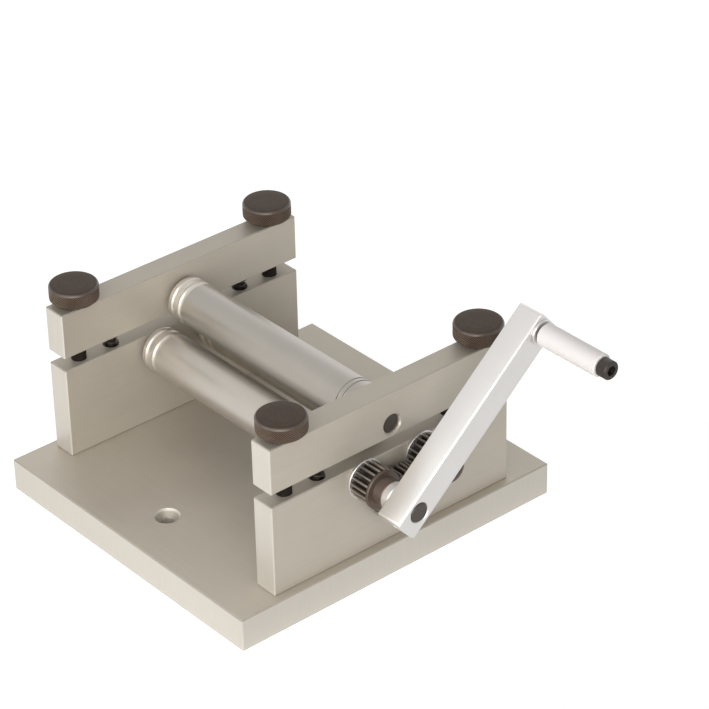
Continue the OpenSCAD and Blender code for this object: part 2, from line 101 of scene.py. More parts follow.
# Points of a lift spring's coil to a turn, and sides of its wire
COIL_POINTS = 28
WIRE_SIDES = 12

# The rolls' left faces, a gap away from the side plate, and the stretch from there on that carries
# a painted highlight
ROLL_GAP = 2.4 * MM
ROLL_FACE_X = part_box("left_side_plate")[1].x + ROLL_GAP
END_HIGHLIGHT_L = 11.2 * MM
# Radius at which a roll's shaft ends and its body starts
SHAFT_R = 5.3 * MM

# The gears' module, and the teeth of each pinion and of the idler
GEAR_MODULE = 1.0 * MM
PINION_TEETH = 18
IDLER_TEETH = 28
# Ribs round the handle screw's head
HEAD_RIBS = 48

# Radii between which a bench bolt's countersink is spared the painted shade, so its rim stays
# bright as a painted highlight
HIGHLIGHT_RIM_INNER_R = 5.7 * MM
HIGHLIGHT_RIM_OUTER_R = 6.9 * MM

# Easing merges faces that meet at less than the first angle, and rounds edges over the second
MERGED_ANGLE = math.radians(0.5)
EASED_ANGLE = math.radians(25.0)
EASED_STEPS = 2

# Where the bench ends beside the base, so that the crank can swing past it
BENCH_EDGE_X = 0.1
# Strength of the world as light. The camera and glossy surfaces see it at 1
WORLD_LIGHT = 0.38
# Pale warm light of the front and right lamps
LAMP_TINT = (1.0, 0.99, 0.97)


class SlipRollSizes(bpy.types.PropertyGroup):
    """Sizes of the detail that the dressing adds"""

    knob_d: bpy.props.FloatProperty(
        name="Knob diameter",
        description="Diameter over the knurl of a thumbscrew's knob",
        default=SCREW_HIGH.x - SCREW_LOW.x,
        subtype="DISTANCE",
        unit="LENGTH",
    )
    knob_h: bpy.props.FloatProperty(
        name="Knob height",
        description="Height of the knurled part of a knob",
        default=8.7 * MM,
        unit="LENGTH",
    )
    knob_edge: bpy.props.FloatProperty(
        name="Knob chamfer",
        description="Width of the chamfer at the bottom of a knob",
        default=1.0 * MM,
        unit="LENGTH",
    )
    knob_brow: bpy.props.FloatProperty(
        name="Knob brow",
        description="Width of the rounded edge round a knob's flat top",
        default=1.5 * MM,
        unit="LENGTH",
    )
    neck_d: bpy.props.FloatProperty(
        name="Neck diameter",
        description="Diameter of the plain neck under a knob",
        default=15.5 * MM,
        unit="LENGTH",
    )
    neck_h: bpy.props.FloatProperty(
        name="Neck height",
        description="Height of the plain neck under a knob",
        default=2.5 * MM,
        unit="LENGTH",
    )
    shank_d: bpy.props.FloatProperty(
        name="Shank diameter",
        description="Diameter over the thread of a thumbscrew's shank",
        default=7.9 * MM,
        unit="LENGTH",
    )
    thread_pitch: bpy.props.FloatProperty(
        name="Thread pitch",
        description="Pitch of the thumbscrews' thread",
        default=25.4 / 18 * MM,
        unit="LENGTH",
    )
    thread_depth: bpy.props.FloatProperty(
        name="Thread depth",
        description="Depth of the thumbscrews' thread",
        default=0.7 * MM,
        unit="LENGTH",
    )
    knurl_count: bpy.props.IntProperty(
        name="Knurl count",
        description="Diamonds of the knurl round a knob",
        default=64,
        min=24,
        max=120,
    )
    knurl_depth: bpy.props.FloatProperty(
        name="Knurl depth",
        description="Depth of the knurl's grooves",
        default=0.42 * MM,
        unit="LENGTH",
    )
    wire_d: bpy.props.FloatProperty(
        name="Spring wire",
        description="Diameter of the lift springs' wire",
        default=1.0 * MM,
        unit="LENGTH",
    )
    spring_turns: bpy.props.FloatProperty(
        name="Spring turns",
        description="Turns of a lift spring, its two closed end turns included",
        default=7.0,
        min=4.0,
        max=9.0,
    )
    gear_edge: bpy.props.FloatProperty(
        name="Gear edge",
        description="How far the gears' sharp edges are eased",
        default=0.12 * MM,
        unit="LENGTH",
    )
    crank_edge: bpy.props.FloatProperty(
        name="Crank edge",
        description="How far the edges of the crank arm's chamfers are rounded",
        default=0.36 * MM,
        unit="LENGTH",
    )


class SlipRollFinishes(bpy.types.PropertyGroup):
    """Colours of the slip roll's metals and plastic"""

    rolled: bpy.props.FloatVectorProperty(
        name="Rolled aluminium",
        description="Large satin faces of the base, plates and bars",
        default=(0.50, 0.455, 0.385),
        subtype="COLOR",
        min=0.0,
        max=1.0,
    )
    milled: bpy.props.FloatVectorProperty(
        name="Milled aluminium",
        description="Cut edges and ends of the base, plates and bars",
        default=(0.57, 0.535, 0.475),
        subtype="COLOR",
        min=0.0,
        max=1.0,
    )
    bright: bpy.props.FloatVectorProperty(
        name="Bright aluminium",
        description="Crank arm, collar and washers",
        default=(0.69, 0.67, 0.65),
        subtype="COLOR",
        min=0.0,
        max=1.0,
    )
    roll_steel: bpy.props.FloatVectorProperty(
        name="Roll steel",
        description="Ground and polished rolls",
        default=(0.43, 0.40, 0.36),
        subtype="COLOR",
        min=0.0,
        max=1.0,
    )
    black_oxide: bpy.props.FloatVectorProperty(
        name="Black oxide",
        description="Thumbscrews, gears, cap screws and shafts",
        default=(0.050, 0.039, 0.032),
        subtype="COLOR",
        min=0.0,
        max=1.0,
    )
    brown_oxide: bpy.props.FloatVectorProperty(
        name="Brown oxide",
        description="Patches where the black of thumbscrews and gears has turned brown",
        default=(0.085, 0.055, 0.037),
        subtype="COLOR",
        min=0.0,
        max=1.0,
    )
    knurl: bpy.props.FloatVectorProperty(
        name="Worn knurl",
        description="Points of the knurl, worn by fingers",
        default=(0.20, 0.15, 0.115),
        subtype="COLOR",
        min=0.0,
        max=1.0,
    )
    worn_tips: bpy.props.FloatVectorProperty(
        name="Tooth tips",
        description="Tips of the gears' teeth, polished by handling",
        default=(0.30, 0.275, 0.25),
        subtype="COLOR",
        min=0.0,
        max=1.0,
    )
    spring_steel: bpy.props.FloatVectorProperty(
        name="Spring steel",
        description="Lift springs and guide pins",
        default=(0.050, 0.041, 0.035),
        subtype="COLOR",
        min=0.0,
        max=1.0,
    )
    grip: bpy.props.FloatVectorProperty(
        name="Grip plastic",
        description="Handle grip",
        default=(0.81, 0.775, 0.76),
        subtype="COLOR",
        min=0.0,
        max=1.0,
    )


# Nodes


class Value:
    """A node's output that takes part in sums: each operator adds its Math node."""

    def __init__(self, tree, socket):
        self.tree = tree
        self.socket = socket

    def math(self, operation, *terms, clamp=False):
        return self.tree.node(
            "ShaderNodeMath",
            {"operation": operation, "use_clamp": clamp},
            dict(enumerate(terms)),
        )

    def __add__(self, other):
        return self.math("ADD", self, other)

    def __radd__(self, other):
        return self.math("ADD", other, self)

    def __sub__(self, other):
        return self.math("SUBTRACT", self, other)

    def __rsub__(self, other):
        return self.math("SUBTRACT", other, self)

    def __mul__(self, other):
        return self.math("MULTIPLY", self, other)

    def __rmul__(self, other):
        return self.math("MULTIPLY", other, self)

    def __truediv__(self, other):
        return self.math("DIVIDE", self, other)

    def __pow__(self, other):
        return self.math("POWER", self, other)

    def __abs__(self):
        return self.math("ABSOLUTE", self)

    def at_least(self, other):
        return self.math("MAXIMUM", self, other)

    def over(self, edge, width):
        """0 below edge, 1 from edge + width, with a straight ramp between."""
        return self.math("MULTIPLY", self - edge, 1 / width, clamp=True)

    def square(self):
        """1 where a part of the normal says that the face is square to that axis."""
        return self.over(0.9, 0.05)

    def within(self, low, high):
        """1 from low to high, 0 elsewhere."""
        above = self.math("GREATER_THAN", self, low - 0.001 * MM)
        below = self.math("LESS_THAN", self, high + 0.001 * MM)
        return above * below


class Tree:
    """A node tree with short ways to add nodes and link them."""

    def __init__(self, tree):
        self.tree = tree

    def node(self, kind, settings=(), inputs=(), output=0):
        """Adds a node: its settings first, then the values or links of its sockets."""
        node = self.tree.nodes.new(kind)
        for name, value in dict(settings).items():
            setattr(node, name, value)
        for key, value in dict(inputs).items():
            self.feed(node.inputs[key], value)
        return Value(self, node.outputs[output]) if node.outputs else None

    def feed(self, socket, value):
        """Links a value to a socket, or sets a plain number or colour on it."""
        if isinstance(value, Value):
            self.tree.links.new(value.socket, socket)
        else:
            socket.default_value = value

    def parts(self, vector):
        """A vector's three parts, named X, Y and Z."""
        split = self.node("ShaderNodeSeparateXYZ", {}, {0: vector}).socket.node
        return {part.name: Value(self, part) for part in split.outputs}

    def eye(self):
        """1 for what the camera sees directly, in gloss or through glass."""
        seen = self.node("ShaderNodeLightPath", output="Is Camera Ray")
        for ray in ("Is Glossy Ray", "Is Transmission Ray"):
            seen = seen.at_least(self.node("ShaderNodeLightPath", output=ray))
        return seen


# Materials


class Finish(Tree):
    """A material's node tree around its Principled BSDF."""

    def __init__(self, name):
        self.material = bpy.data.materials.new(name)
        self.material.use_nodes = True
        super().__init__(self.material.node_tree)
        self.surface = self.tree.nodes["Principled BSDF"]

    @cached_property
    def coordinates(self):
        """Object coordinates."""
        return self.node("ShaderNodeTexCoord", output="Object")

    @cached_property
    def place(self):
        """Where the surface is along each axis."""
        return self.parts(self.coordinates)

    @cached_property
    def facing(self):
        """How far the surface faces along each axis, from -1 to 1."""
        return self.parts(self.node("ShaderNodeTexCoord", output="Normal"))

    def set(self, **inputs):
        """Feeds the Principled BSDF's sockets, named with _ for a space; returns the material."""
        for name, value in inputs.items():
            self.feed(self.surface.inputs[name.replace("_", " ")], value)
        return self.material

    def around_x(self):
        """1 on surfaces that run along X, 0 on the faces that end them."""
        return 1 - abs(self.facing["X"]).over(0.3, 0.3)

    def off_axis(self, axis):
        """Distance from the line along X through a point."""
        return ((self.place["Y"] - axis.y) ** 2.0 + (self.place["Z"] - axis.z) ** 2.0) ** 0.5

    def attribute(self, name):
        """A number that a mesh carries on its points."""
        return self.node("ShaderNodeAttribute", {"attribute_name": name}, output="Fac")

    def noise(self, scale, detail=2.0, roughness=0.5):
        """Noise from 0 to 1 on object coordinates, scaled per metre, alike or by axis."""
        if isinstance(scale, float):
            scale = (scale, scale, scale)
        place = self.node("ShaderNodeMapping", {}, {"Vector": self.coordinates, "Scale": scale})
        return self.node(
            "ShaderNodeTexNoise",
            {},
            {"Vector": place, "Scale": 1.0, "Detail": detail, "Roughness": roughness},
        )

    def rings(self, reach, scale):
        """Noise from 0 to 1 that changes with reach alone, as turning leaves it."""
        place = self.node("ShaderNodeCombineXYZ", {}, {0: reach * scale})
        return self.node("ShaderNodeTexNoise", {}, {"Vector": place, "Scale": 1.0, "Detail": 1.0})

    def mix(self, share, low, high):
        """Mixes two colours by share."""
        return self.node(
            "ShaderNodeMix",
            {"data_type": "RGBA", "clamp_result": True},
            {"Factor": share, 6: low, 7: high},
            output=2,
        )

    def bump(self, height, distance):
        """A Bump node for a height from 0 to 1 that stands distance metres high."""
        return self.node(
            "ShaderNodeBump",
            {},
            {"Strength": 1.0, "Distance": distance, "Height": height},
            output="Normal",
        )


def rgba(colour, gain=1.0):
    """A colour with alpha, made lighter or darker by gain."""
    return tuple(min(1.0, part * gain) for part in colour) + (1.0,)


def plate_aluminium(name, finishes, stock_axes, grain_axis, top_shade_gain=1.0, bolt_y=None):
    """Satin stock: rolled on the faces across stock_axes, milled on cut ends and broken edges.

    A top gain below 1 paints shade on the faces that look up, as a darker copy of the rolled
    colour. Sloped edges and countersinks get painted shade too. bolt_y is the distance of two
    countersunk holes from the middle, whose rims are spared that shade and keep the milled colour
    as a painted highlight.
    """
    finish = Finish(name)
    broad = abs(finish.facing[stock_axes[0]])
    for axis in stock_axes[1:]:
        broad = broad.at_least(abs(finish.facing[axis]))
    broad = broad.square()
    across_grain, along_grain = 620.0, 14.0
    grain = finish.noise(
        [along_grain if axis == grain_axis else across_grain for axis in "XYZ"],
        detail=3.0,
        roughness=0.6,
    )
    cutter = finish.noise((900.0, 900.0, 60.0))
    cloud = finish.noise(26.0, detail=4.0, roughness=0.62)
    smear = finish.noise(9.0)
    rolled = finish.mix(
        grain * 0.35 + cloud * 0.65,
        rgba(finishes.rolled, 0.86),
        rgba(finishes.rolled, 1.14),
    )
    # Painted shade: faces that look up get a darker copy of the rolled colour.
    if top_shade_gain != 1.0:
        painted_top_shade = finish.mix(
            cloud, rgba(finishes.rolled, 0.9 * top_shade_gain), rgba(finishes.rolled, 1.1 * top_shade_gain)
        )
        rolled = finish.mix(finish.facing["Z"].square(), rolled, painted_top_shade)
    milled = finish.mix(
        cutter * 0.5 + cloud * 0.5,
        rgba(finishes.milled, 0.93),
        rgba(finishes.milled, 1.07),
    )
    # Painted shade: sloped broken edges and countersink cones get a darker rolled colour in place
    # of the light they would catch. Rims round the bench bolts are spared it and keep the milled
    # colour as a painted highlight.
    level = abs(finish.facing["Z"])
    shaded_slopes = level.over(0.3, 0.1) * (1 - level.square())
    if bolt_y:
        off_y = abs(finish.place["Y"]) - bolt_y
        off_bolt = (finish.place["X"] ** 2.0 + off_y ** 2.0) ** 0.5
        rim = off_bolt.over(HIGHLIGHT_RIM_INNER_R, 0.3 * MM) * (1 - off_bolt.over(HIGHLIGHT_RIM_OUTER_R, 0.1 * MM))
        shaded_slopes = shaded_slopes * (1 - rim)
    milled = finish.mix(shaded_slopes, milled, rgba(finishes.rolled, 0.78))
    return finish.set(
        Base_Color=finish.mix(broad, milled, rolled),
        Metallic=0.4,
        Roughness=broad * (0.05 * grain + 0.12 * smear) + (0.38 + 0.10 * cloud + 0.14 * shaded_slopes),
        Normal=finish.bump(broad * grain + (1 - broad) * cutter, 0.004 * MM),
    )


def bright_aluminium(name, finishes):
    """Finely drawn bar for the crank arm, the collar and the washers."""
    finish = Finish(name)
    cloud = finish.noise(45.0, detail=4.0, roughness=0.6)
    nick = finish.noise(700.0)
    scratch = finish.noise((1400.0, 90.0, 90.0))
    return finish.set(
        Base_Color=finish.mix(
            cloud * 0.7 + nick * 0.3, rgba(finishes.bright, 0.95), rgba(finishes.bright, 1.05)
        ),
        Metallic=0.85,
        Roughness=0.30 + 0.10 * cloud + 0.05 * scratch,
        Normal=finish.bump(nick * 0.5 + scratch * 0.5, 0.003 * MM),
    )


def roll_steel(name, finishes, axis, gain):
    """Ground roll with fine turning lines, a painted highlight round its wide wire grooves, on a
    dark shaft.
    """
    finish = Finish(name)
    body = finish.off_axis(axis).over(SHAFT_R, 0.2 * MM)
    painted_end_highlight = 1 - finish.place["X"].over(ROLL_FACE_X + END_HIGHLIGHT_L, 0.8 * MM)
    turned = finish.noise((2600.0, 40.0, 40.0))
    cloud = finish.noise((30.0, 60.0, 60.0), detail=3.0, roughness=0.6)
    # gain paints light or shade into this roll's steel colour, for how the roll faces the lamps.
    steel = finish.mix(
        turned * 0.35 + cloud * 0.65,
        rgba(finishes.roll_steel, 0.9 * gain),
        rgba(finishes.roll_steel, 1.1 * gain),
    )
    # Painted highlight: the stretch at the roll's left end, round the wire grooves, is painted
    # much lighter.
    steel = finish.mix(painted_end_highlight, steel, rgba(finishes.roll_steel, 1.45))
    return finish.set(
        Base_Color=finish.mix(body, rgba(finishes.black_oxide), steel),
        Metallic=body * 0.8,
        Roughness=0.32 + 0.05 * turned + 0.08 * cloud,
        Normal=finish.bump(turned, 0.003 * MM),
    )


def knurled_oxide(name, finishes, shank_top, brow_low):
    """Black oxide, worn brown on the knurl, rubbed bright on the brow, darker on the thread."""
    finish = Finish(name)
    height = finish.place["Z"]
    thread = 1 - height.over(shank_top, 0.2 * MM)
    brow = height.over(brow_low, 0.4 * MM) * (1 - height.over(SCREW_HIGH.z - 0.2 * MM, 0.15 * MM))
    turned = finish.rings(finish.attribute("reach"), 900.0)
    cloud = finish.noise(260.0, detail=5.0, roughness=0.65)
    colour = finish.mix(
        cloud.over(0.25, 0.5) * 0.6 + turned.over(0.3, 0.4) * 0.4,
        rgba(finishes.black_oxide, 0.7),
        rgba(finishes.brown_oxide),
    )
    colour = finish.mix(finish.attribute("worn").over(0.3, 0.5), colour, rgba(finishes.knurl))
    return finish.set(
        Base_Color=finish.mix(thread, colour, rgba(finishes.black_oxide, 0.4)),
        Metallic=0.35,
        Specular_IOR_Level=0.12,
        Coat_Weight=brow * 0.9,
        Coat_Roughness=0.3,
        Roughness=0.38 + 0.16 * cloud + 0.1 * thread,
    )


def geared_oxide(name, finishes, axis, tip_r):
    """Black oxide, polished grey on the tips of the teeth and oily dark between them.

    A flange that stands past the tips and a hub inside the roots keep the plain black.
    """
    finish = Finish(name)
    off_axis = finish.off_axis(axis)
    toothed = finish.around_x()
    tips = off_axis.over(tip_r - 0.6 * GEAR_MODULE, 0.35 * GEAR_MODULE) * toothed
    tips = tips * (1 - off_axis.over(tip_r + 0.1 * GEAR_MODULE, 0.1 * GEAR_MODULE))
    roots = 1 - off_axis.over(tip_r - 1.6 * GEAR_MODULE, 0.8 * GEAR_MODULE)
    roots = roots * off_axis.over(tip_r - 2.4 * GEAR_MODULE, 0.1 * GEAR_MODULE)
    cloud = finish.noise(160.0, detail=4.0, roughness=0.6)
    colour = finish.mix(cloud, rgba(finishes.black_oxide, 1.7), rgba(finishes.brown_oxide, 1.35))
    colour = finish.mix(roots * toothed, colour, rgba(finishes.black_oxide, 0.4))
    return finish.set(
        Base_Color=finish.mix(tips, colour, rgba(finishes.worn_tips)),
        Metallic=0.4 + 0.3 * tips,
        Roughness=0.30 + 0.14 * cloud,
    )


def ribbed_oxide(name, finishes, axis):
    """Black oxide with fine ribs round a cap screw's head."""
    finish = Finish(name)
    up, back = finish.place["Z"] - axis.z, finish.place["Y"] - axis.y
    turn = up.math("ARCTAN2", up, back) * (HEAD_RIBS / math.tau)
    ribs = turn.math("PINGPONG", turn, 0.5) * 2
    cloud = finish.noise(160.0, detail=4.0, roughness=0.6)
    return finish.set(
        Base_Color=finish.mix(
            cloud, rgba(finishes.black_oxide, 0.7), rgba(finishes.black_oxide, 1.1)
        ),
        Metallic=0.35,
        Specular_IOR_Level=0.35,
        Roughness=0.30 + 0.12 * cloud,
        Normal=finish.bump(ribs * finish.around_x(), 0.12 * MM),
    )


def black_oxide(name, colour, metallic=0.35, roughness=0.42, gloss=0.5):
    """Oiled black oxide with worn, lighter patches."""
    finish = Finish(name)
    cloud = finish.noise(160.0, detail=4.0, roughness=0.6)
    fine = finish.noise(1800.0)
    return finish.set(
        Base_Color=finish.mix(cloud * 0.75 + fine * 0.25, rgba(colour, 0.72), rgba(colour, 1.45)),
        Metallic=metallic,
        Specular_IOR_Level=gloss,
        Roughness=roughness - 0.08 + 0.16 * cloud,
        Normal=finish.bump(fine, 0.006 * MM),
    )


def grip_plastic(name, finishes):
    """White turned plastic, faintly waxy."""
    finish = Finish(name)
    cloud = finish.noise((60.0, 120.0, 120.0), detail=3.0)
    turned = finish.noise((2200.0, 30.0, 30.0))
    return finish.set(
        Base_Color=finish.mix(cloud, rgba(finishes.grip, 0.97), rgba(finishes.grip, 1.03)),
        Roughness=0.38 + 0.08 * cloud,
        Normal=finish.bump(turned, 0.004 * MM),
    )


def bench_white(name, glow):
    """White to the camera and in gloss; an upward face with glow under 1 keeps shadows."""
    finish = Finish(name)

    def emission(strength):
        return finish.node("ShaderNodeEmission", {}, {"Color": WHITE, "Strength": strength})

    def diffuse(grey):
        return finish.node("ShaderNodeBsdfDiffuse", {}, {"Color": rgba((grey, grey, grey))})

    seen = emission(1.0)
    if glow < 1.0:
        upward = finish.facing["Z"].over(0.5, 0.1)
        top = finish.node("ShaderNodeAddShader", {}, {0: emission(glow), 1: diffuse(0.42)})
        seen = finish.node("ShaderNodeMixShader", {}, {"Fac": upward, 1: seen, 2: top})
    mixed = finish.node("ShaderNodeMixShader", {}, {"Fac": finish.eye(), 1: diffuse(0.8), 2: seen})
    finish.feed(finish.tree.nodes["Material Output"].inputs["Surface"], mixed)
    finish.tree.nodes.remove(finish.surface)
    return finish.material


# Mesh building


def middle(node):
    """The middle of a CAD node's box."""
    low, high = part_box(node)
    return (low + high) / 2


def evenly(start, end, steps):
    """Even places from start to end, both included."""
    return [start + (end - start) * i / steps for i in range(steps + 1)]


def mesh_object(name, mesh, material):
    """Puts a mesh in the scene as a piece at the origin."""
    piece = bpy.data.objects.new(name, mesh)
    bpy.context.scene.collection.objects.link(piece)
    mesh.materials.clear()
    mesh.materials.append(material)
    return piece


def lathe(name, profile, columns):
    """A closed skin turned about Z through (radius, height) points that start and end on Z."""
    mesh = bpy.data.meshes.new(name)
    shape = bmesh.new()
    rings = []
    for radius, height in profile:
        turns = evenly(0.0, math.tau, columns)[:-1] if radius else [0.0]
        places = [(radius * math.cos(turn), radius * math.sin(turn), height) for turn in turns]
        rings.append([shape.verts.new(place) for place in places])
    for low, high in zip(rings, rings[1:]):
        for i in range(columns):
            lower = [low[i % len(low)], low[(i + 1) % len(low)]]
            upper = [high[(i + 1) % len(high)], high[i % len(high)]]
            shape.faces.new(list(dict.fromkeys(lower + upper)))
    bmesh.ops.recalc_face_normals(shape, faces=shape.faces)
    shape.to_mesh(mesh)
    shape.free()
    return mesh


def block(name, low, high):
    """A box from its lowest to its highest corner."""
    mesh = bpy.data.meshes.new(name)
    shape = bmesh.new()
    bmesh.ops.create_cube(shape, size=1.0)
    for vert in shape.verts:
        for k in range(3):
            vert.co[k] = high[k] if vert.co[k] > 0 else low[k]
    shape.to_mesh(mesh)
    shape.free()
    return mesh


def shade_by_angle(mesh, degrees):
    """Smooth shading with sharp edges where faces meet at more than an angle."""
    mesh.shade_smooth()
    mesh.set_sharp_from_angle(angle=math.radians(degrees))


def apply_modifiers(piece):
    """Turns a piece's evaluated modifiers into a plain mesh and removes them."""
    graph = bpy.context.evaluated_depsgraph_get()
    graph.update()
    mesh = bpy.data.meshes.new_from_object(piece.evaluated_get(graph))
    piece.modifiers.clear()
    piece.data = mesh


def eased(node, material, width):
    """A copy of a CAD node whose sharp edges are rounded by width."""
    mesh = frame["nodes"][node].data.copy()
    shape = bmesh.new()
    shape.from_mesh(mesh)
    bmesh.ops.remove_doubles(shape, verts=shape.verts, dist=0.001 * MM)
    bmesh.ops.dissolve_limit(shape, angle_limit=MERGED_ANGLE, verts=shape.verts, edges=shape.edges)
    shape.to_mesh(mesh)
    shape.free()
    custom = mesh.attributes.get("custom_normal")
    if custom:
        mesh.attributes.remove(custom)
    piece = mesh_object("eased_" + node, mesh, material)
    bevel = piece.modifiers.new("ease", "BEVEL")
    bevel.width = width
    bevel.segments = EASED_STEPS
    bevel.limit_method = "ANGLE"
    bevel.angle_limit = EASED_ANGLE
    apply_modifiers(piece)
    shade_by_angle(piece.data, degrees=32.0)
    return piece


def settle(piece, body, node):
    """Rides a finished piece on its body, in place of its CAD node."""
    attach(piece, body)
    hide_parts(node)


def dress(material, *nodes):
    """Gives CAD nodes a material."""
    for node in nodes:
        mesh = frame["nodes"][node].data
        mesh.materials.clear()
        mesh.materials.append(material)


# Geometry Nodes


class Group(Tree):
    """A Geometry Nodes tree with named inputs, the last of them its material."""

    def __init__(self, name, floats, ints=(), takes_geometry=True):
        super().__init__(bpy.data.node_groups.new(name, "GeometryNodeTree"))
        self.ids = {}
        if takes_geometry:
            self.add_input("Geometry", "Geometry")
        for label in ints:
            self.add_input(label, "Int")
        for label in floats:
            self.add_input(label, "Float")
        self.add_input("Material", "Material")
        self.tree.interface.new_socket(
            "Geometry", in_out="OUTPUT", socket_type="NodeSocketGeometry"
        )
        self.entry = self.tree.nodes.new("NodeGroupInput")
        self.exit = self.tree.nodes.new("NodeGroupOutput")

    def add_input(self, label, kind):
        """Adds an input and keeps its identifier."""
        socket = self.tree.interface.new_socket(
            label, in_out="INPUT", socket_type="NodeSocket" + kind
        )
        self.ids[label] = socket.identifier

    def input(self, label):
        return Value(self, self.entry.outputs[label])

    def around_z(self):
        """Position's parts, its distance from Z and its turn round Z, from -1/2 to 1/2."""
        x, y, z = self.parts(self.node("GeometryNodeInputPosition")).values()
        radius = x.math("SQRT", x * x + y * y)
        turn = x.math("ARCTAN2", y, x) / math.tau
        return x, y, z, radius, turn

    def pull_in(self, geometry, x, y, radius, amount):
        """Moves points towards Z by amount."""
        share = amount / radius.at_least(0.001 * MM)
        offset = self.node("ShaderNodeCombineXYZ", {}, {0: x * share * -1.0, 1: y * share * -1.0})
        return self.node("GeometryNodeSetPosition", {}, {"Geometry": geometry, "Offset": offset})

    def mark(self, geometry, name, value):
        """Stores a value on the points, for a shader to read."""
        return self.node(
            "GeometryNodeStoreNamedAttribute",
            {},
            {"Geometry": geometry, "Name": name, "Value": value},
        )

    def close(self, geometry):
        """Ends the tree in Realize Instances and Set Material."""
        real = self.node("GeometryNodeRealizeInstances", {}, {"Geometry": geometry})
        done = self.node(
            "GeometryNodeSetMaterial",
            {},
            {"Geometry": real, "Material": self.input("Material")},
        )
        self.feed(self.exit.inputs[0], done)
        return self

    def on(self, piece, **values):
        """Adds the tree to a piece as a modifier, its inputs set by socket identifier."""
        modifier = piece.modifiers.new(self.tree.name, "NODES")
        modifier.node_group = self.tree
        for label, value in values.items():
            modifier[self.ids[label]] = value


def knurl_group():
    """Sinks every other point of a turned band, row by row, into a knurl of diamonds."""
    group = Group("Knurl", ("Depth", "Radius", "Low", "High"), ints=("Count", "Rows"))
    x, y, z, radius, turn = group.around_z()
    low, high = group.input("Low"), group.input("High")
    column = turn.math("ROUND", (turn + 1.0) * group.input("Count") * 2.0)
    row = z.math("ROUND", (z - low) / (high - low) * group.input("Rows"))
    odd = z.math("FLOORED_MODULO", column + row, 2.0)
    rim = radius.math("GREATER_THAN", radius, group.input("Radius") - 0.01 * MM)
    band = z.within(low, high) * rim
    sunk = group.pull_in(group.input("Geometry"), x, y, radius, odd * band * group.input("Depth"))
    sunk = group.mark(sunk, "worn", band * (1.0 - odd))
    sunk = group.mark(sunk, "reach", radius)
    split = group.node(
        "GeometryNodeTriangulate", {"quad_method": "SHORTEST_DIAGONAL"}, {"Mesh": sunk}
    )
    return group.close(split)


def thread_group():
    """Cuts a helical groove into a turned shank between two heights."""
    group = Group("Thread", ("Pitch", "Depth", "Radius", "Low", "High"))
    x, y, z, radius, turn = group.around_z()
    wave = z.math("PINGPONG", (z / group.input("Pitch") - turn) * 2.0, 1.0)
    shank = radius.math("LESS_THAN", radius, group.input("Radius") + 0.01 * MM)
    band = z.within(group.input("Low"), group.input("High")) * shank
    cut = group.pull_in(group.input("Geometry"), x, y, radius, wave * band * group.input("Depth"))
    return group.close(cut)


def coil_group():
    """Winds round wire into a spring with one closed turn at each end."""
    group = Group("Coil", ("Turns", "Radius", "Wire", "Height"), takes_geometry=False)
    turns, radius, wire = group.input("Turns"), group.input("Radius"), group.input("Wire")
    flat = group.node(
        "GeometryNodeCurveSpiral",
        {},
        {
            "Resolution": COIL_POINTS,
            "Rotations": turns,
            "Start Radius": radius,
            "End Radius": radius,
            "Height": 0.0,
        },
    )
    wound = group.node("GeometryNodeSplineParameter", output="Factor") * turns
    open_h = group.input("Height") - wire * 2.0
    first_turn = wound.over(0.0, 1.0)
    open_share = ((wound - 1.0) / (turns - 2.0)).over(0.0, 1.0)
    last_turn = wound.over(turns - 1.0, 1.0)
    rise = first_turn * wire + open_share * open_h + last_turn * wire
    lift = group.node("ShaderNodeCombineXYZ", {}, {2: rise})
    line = group.node("GeometryNodeSetPosition", {}, {"Geometry": flat, "Offset": lift})
    ring = group.node(
        "GeometryNodeCurvePrimitiveCircle", {}, {"Resolution": WIRE_SIDES, "Radius": wire / 2.0}
    )
    tube = group.node(
        "GeometryNodeCurveToMesh", {}, {"Curve": line, "Profile Curve": ring, "Fill Caps": True}
    )
    return group.close(tube)


# Operators


class SLIPROLL_OT_plates(bpy.types.Operator):
    """Gives the base, side plates and bars their satin aluminium"""

    bl_idname = "sliproll.plates"
    bl_label = "Dress Base and Plates"

    def execute(self, context):
        finishes = context.scene.slip_roll_finishes
        bolts = next(m for m in frame["record"]["mounts"] if m["name"] == "bench_bolts")
        bolt_y = bolts["dims"]["spacing_y_mm"] / 2 * MM
        dress(plate_aluminium("Base aluminium", finishes, "Z", "X", bolt_y=bolt_y), "base_plate")
        dress(
            plate_aluminium("Plate aluminium", finishes, "XZ", "Y", top_shade_gain=0.86),
            "left_side_plate",
            "right_side_plate",
            "left_top_bar",
            "right_top_bar",
        )
        return {"FINISHED"}


class SLIPROLL_OT_rolls(bpy.types.Operator):
    """Gives each roll its ground steel and dark shaft ends"""

    bl_idname = "sliproll.rolls"
    bl_label = "Dress Rolls"

    def execute(self, context):
        finishes = context.scene.slip_roll_finishes
        # Each roll's gain paints light or shade into its steel: the front roll lighter and the top
        # roll darker, for how each faces the lamps.
        for node, gain in (("top_roll", 0.9), ("front_roll", 1.2), ("rear_roll", 1.0)):
            name = node.replace("_", " ") + " steel"
            dress(roll_steel(name, finishes, middle(node), gain), node)
        return {"FINISHED"}


class SLIPROLL_OT_gears(bpy.types.Operator):
    """Eases the gears' edges and gives the gear train its black oxide"""

    bl_idname = "sliproll.gears"
    bl_label = "Dress Gears"

    def execute(self, context):
        sizes = context.scene.slip_roll_sizes
        finishes = context.scene.slip_roll_finishes
        for node, body, teeth in (
            ("front_gear", "crank", PINION_TEETH),
            ("rear_gear", "rear_roll_set", PINION_TEETH),
            ("idler_gear", "idler", IDLER_TEETH),
        ):
            name = node.replace("_", " ") + " oxide"
            tip_r = GEAR_MODULE * (teeth / 2 + 1)
            oxide = geared_oxide(name, finishes, middle(node), tip_r)
            settle(eased(node, oxide, sizes.gear_edge), body, node)
        stud = black_oxide("Stud oxide", finishes.black_oxide, metallic=0.5, roughness=0.36)
        dress(stud, "idler_stud", "front_gear_set_screw", "rear_gear_set_screw")
        return {"FINISHED"}


